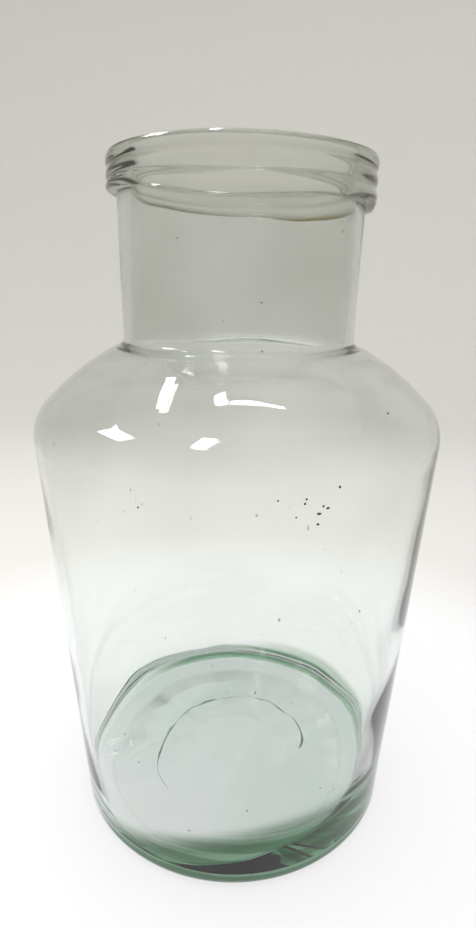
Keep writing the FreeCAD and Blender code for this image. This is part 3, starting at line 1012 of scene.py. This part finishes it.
class JAR_OT_leave_scar(bpy.types.Operator):
    """Leave the torn ring of the pontil rod under the base"""

    bl_idname = "jar.leave_scar"
    bl_label = "Leave the pontil scar"

    def execute(self, context):
        jar, scar = context.scene.jar_sizes, context.scene.jar_scar
        looks = context.scene.jar_glass
        points = scar_points(jar, scar, *SCAR_MESH)
        finish = glass_finish(
            "torn_scar_glass", looks.tint, 1.4 * looks.strength, rough=0.35,
            wave_size=400.0, wave_depth=0.0002)
        verts, quads, caps = turned_mesh(points)
        make_piece("torn_pontil_scar", verts, [(quads, caps)], [finish],
                   "pontil_scar")
        return {"FINISHED"}


class JAR_OT_set_stage(bpy.types.Operator):
    """Lay the round pale floor, hang the lights and place the camera"""

    bl_idname = "jar.set_stage"
    bl_label = "Set the stage"

    def execute(self, context):
        looks = context.scene.jar_studio
        lay_floor(looks)
        hang_lights(looks)
        place_camera(looks)
        return {"FINISHED"}


def lay_floor(looks):
    """A flat disc that curves up into a wall all round, as one sheet."""
    reach = STAGE_FLAT + STAGE_BEND
    line = np.concatenate([
        stretch((0, 0), (STAGE_FLAT, 0), 12),
        arc((STAGE_FLAT, STAGE_BEND), STAGE_BEND, -0.5 * math.pi, 0, 24)[1:],
        stretch((reach, STAGE_BEND + 60), (reach, STAGE_TOP), 5),
    ])
    angle = np.linspace(0, 2 * math.pi, STAGE_AROUND,
                        endpoint=False)[None, :]
    points = np.stack([line[:, :1] * np.cos(angle),
                       line[:, :1] * np.sin(angle),
                       line[:, 1:] + 0 * angle], axis=2)
    rings, around = points.shape[0] - 1, points.shape[1]
    verts = np.concatenate([points[1:].reshape(-1, 3), [[0.0, 0.0, 0.0]]])
    ring = np.arange(around)
    quads = tube_faces(rings, around)[:-around]
    middle = np.stack([np.full(around, len(verts) - 1), ring,
                       np.roll(ring, -1)], axis=1)
    mesh = bpy.data.meshes.new("pale_floor")
    mesh.from_pydata((verts * MM).tolist(), [],
                     quads[:, ::-1].tolist() + middle.tolist())
    mesh.polygons.foreach_set("use_smooth",
                              np.ones(len(mesh.polygons), bool))
    mesh.materials.append(paper_finish(looks))
    mesh.update()
    floor = bpy.data.objects.new("pale_floor", mesh)
    bpy.context.scene.collection.objects.link(floor)


def soft_light(name, place, aim, size, power, colour):
    """A rectangular soft light at a place, turned to face a point.

    The point can't be straight below the light, since its turn about the
    line between them would not be defined.
    """
    data = bpy.data.lights.new(name, "AREA")
    data.shape = "RECTANGLE"
    data.size, data.size_y = size
    data.energy = power
    data.color = colour
    light = bpy.data.objects.new(name, data)
    away = np.array(place, float) - np.array(aim, float)
    away /= np.linalg.norm(away)
    side = np.cross([0.0, 0.0, 1.0], away)
    side /= np.linalg.norm(side)
    up = np.cross(away, side)
    light.matrix_world = Matrix(
        [[side[k], up[k], away[k], place[k]] for k in range(3)]
        + [[0, 0, 0, 1]])
    bpy.context.scene.collection.objects.link(light)
    return light


def hang_lights(looks):
    """The soft room and the lights.

    The ceiling fill lights the studio without showing in the glass.
    """
    world = bpy.data.worlds.new("soft_room")
    world.use_nodes = True
    back = world.node_tree.nodes["Background"]
    back.inputs["Color"].default_value = (*looks.sky, 1)
    back.inputs["Strength"].default_value = 1.0
    bpy.context.scene.world = world
    fill = soft_light(*CEILING_FILL)
    fill.visible_glossy = False
    fill.visible_transmission = False
    for light in LIGHTS:
        soft_light(*light)


def place_camera(looks):
    """The camera from its distance, height, pitch, yaw and roll."""
    pitch, roll, yaw = looks.camera_pitch, looks.camera_roll, looks.camera_yaw
    right = np.array([math.cos(yaw), -math.sin(yaw), 0.0])
    ahead = np.array([math.sin(yaw) * math.cos(pitch),
                      math.cos(yaw) * math.cos(pitch), -math.sin(pitch)])
    up = np.cross(right, ahead)
    side = math.cos(roll) * right + math.sin(roll) * up
    top = math.cos(roll) * up - math.sin(roll) * right
    place = (0.0, -looks.camera_back, looks.camera_up)
    data = bpy.data.cameras.new("camera")
    data.lens = looks.lens
    data.clip_start = 0.005
    camera = bpy.data.objects.new("camera", data)
    camera.matrix_world = Matrix(
        [[side[k], top[k], -ahead[k], place[k]] for k in range(3)]
        + [[0, 0, 0, 1]])
    bpy.context.scene.collection.objects.link(camera)
    bpy.context.scene.camera = camera


# ---------------------------------------------------------------- panel

STEPS = (JAR_OT_blow_vessel, JAR_OT_trail_lip, JAR_OT_leave_scar,
         JAR_OT_set_stage)


class JAR_PT_builder(bpy.types.Panel):
    """The jar's steps and sizes, in the order they are made"""

    bl_idname = "JAR_PT_builder"
    bl_label = "Blown Jar"
    bl_space_type = "VIEW_3D"
    bl_region_type = "UI"
    bl_category = "Jar"

    def draw(self, context):
        scene = context.scene
        groups = (scene.jar_sizes, scene.jar_lip, scene.jar_scar,
                  scene.jar_glass, scene.jar_studio)
        for step in STEPS:
            self.layout.operator(step.bl_idname)
        for group in groups:
            box = self.layout.box()
            for name in group.__annotations__:
                box.prop(group, name)


GROUPS = {"jar_sizes": JarSizes, "jar_lip": LipSizes, "jar_scar": ScarSizes,
          "jar_glass": GlassLooks, "jar_studio": StudioLooks}


def register():
    for cls in (*GROUPS.values(), *STEPS, JAR_PT_builder):
        bpy.utils.register_class(cls)
    for name, group in GROUPS.items():
        setattr(bpy.types.Scene, name,
                bpy.props.PointerProperty(type=group))


def unregister():
    for name in GROUPS:
        delattr(bpy.types.Scene, name)
    for cls in (JAR_PT_builder, *reversed(STEPS),
                *reversed(GROUPS.values())):
        bpy.utils.unregister_class(cls)


def main():
    """Build every piece and the stage."""
    register()
    scene = bpy.context.scene
    scene.view_settings.view_transform = "Standard"
    scene.cycles.max_bounces = BOUNCES
    scene.cycles.transmission_bounces = BOUNCES
    scene.cycles.caustics_refractive = False
    scene.cycles.caustics_reflective = False
    bpy.ops.jar.blow_vessel()
    bpy.ops.jar.trail_lip()
    bpy.ops.jar.leave_scar()
    bpy.ops.jar.set_stage()


if __name__ == "__main__":
    main()
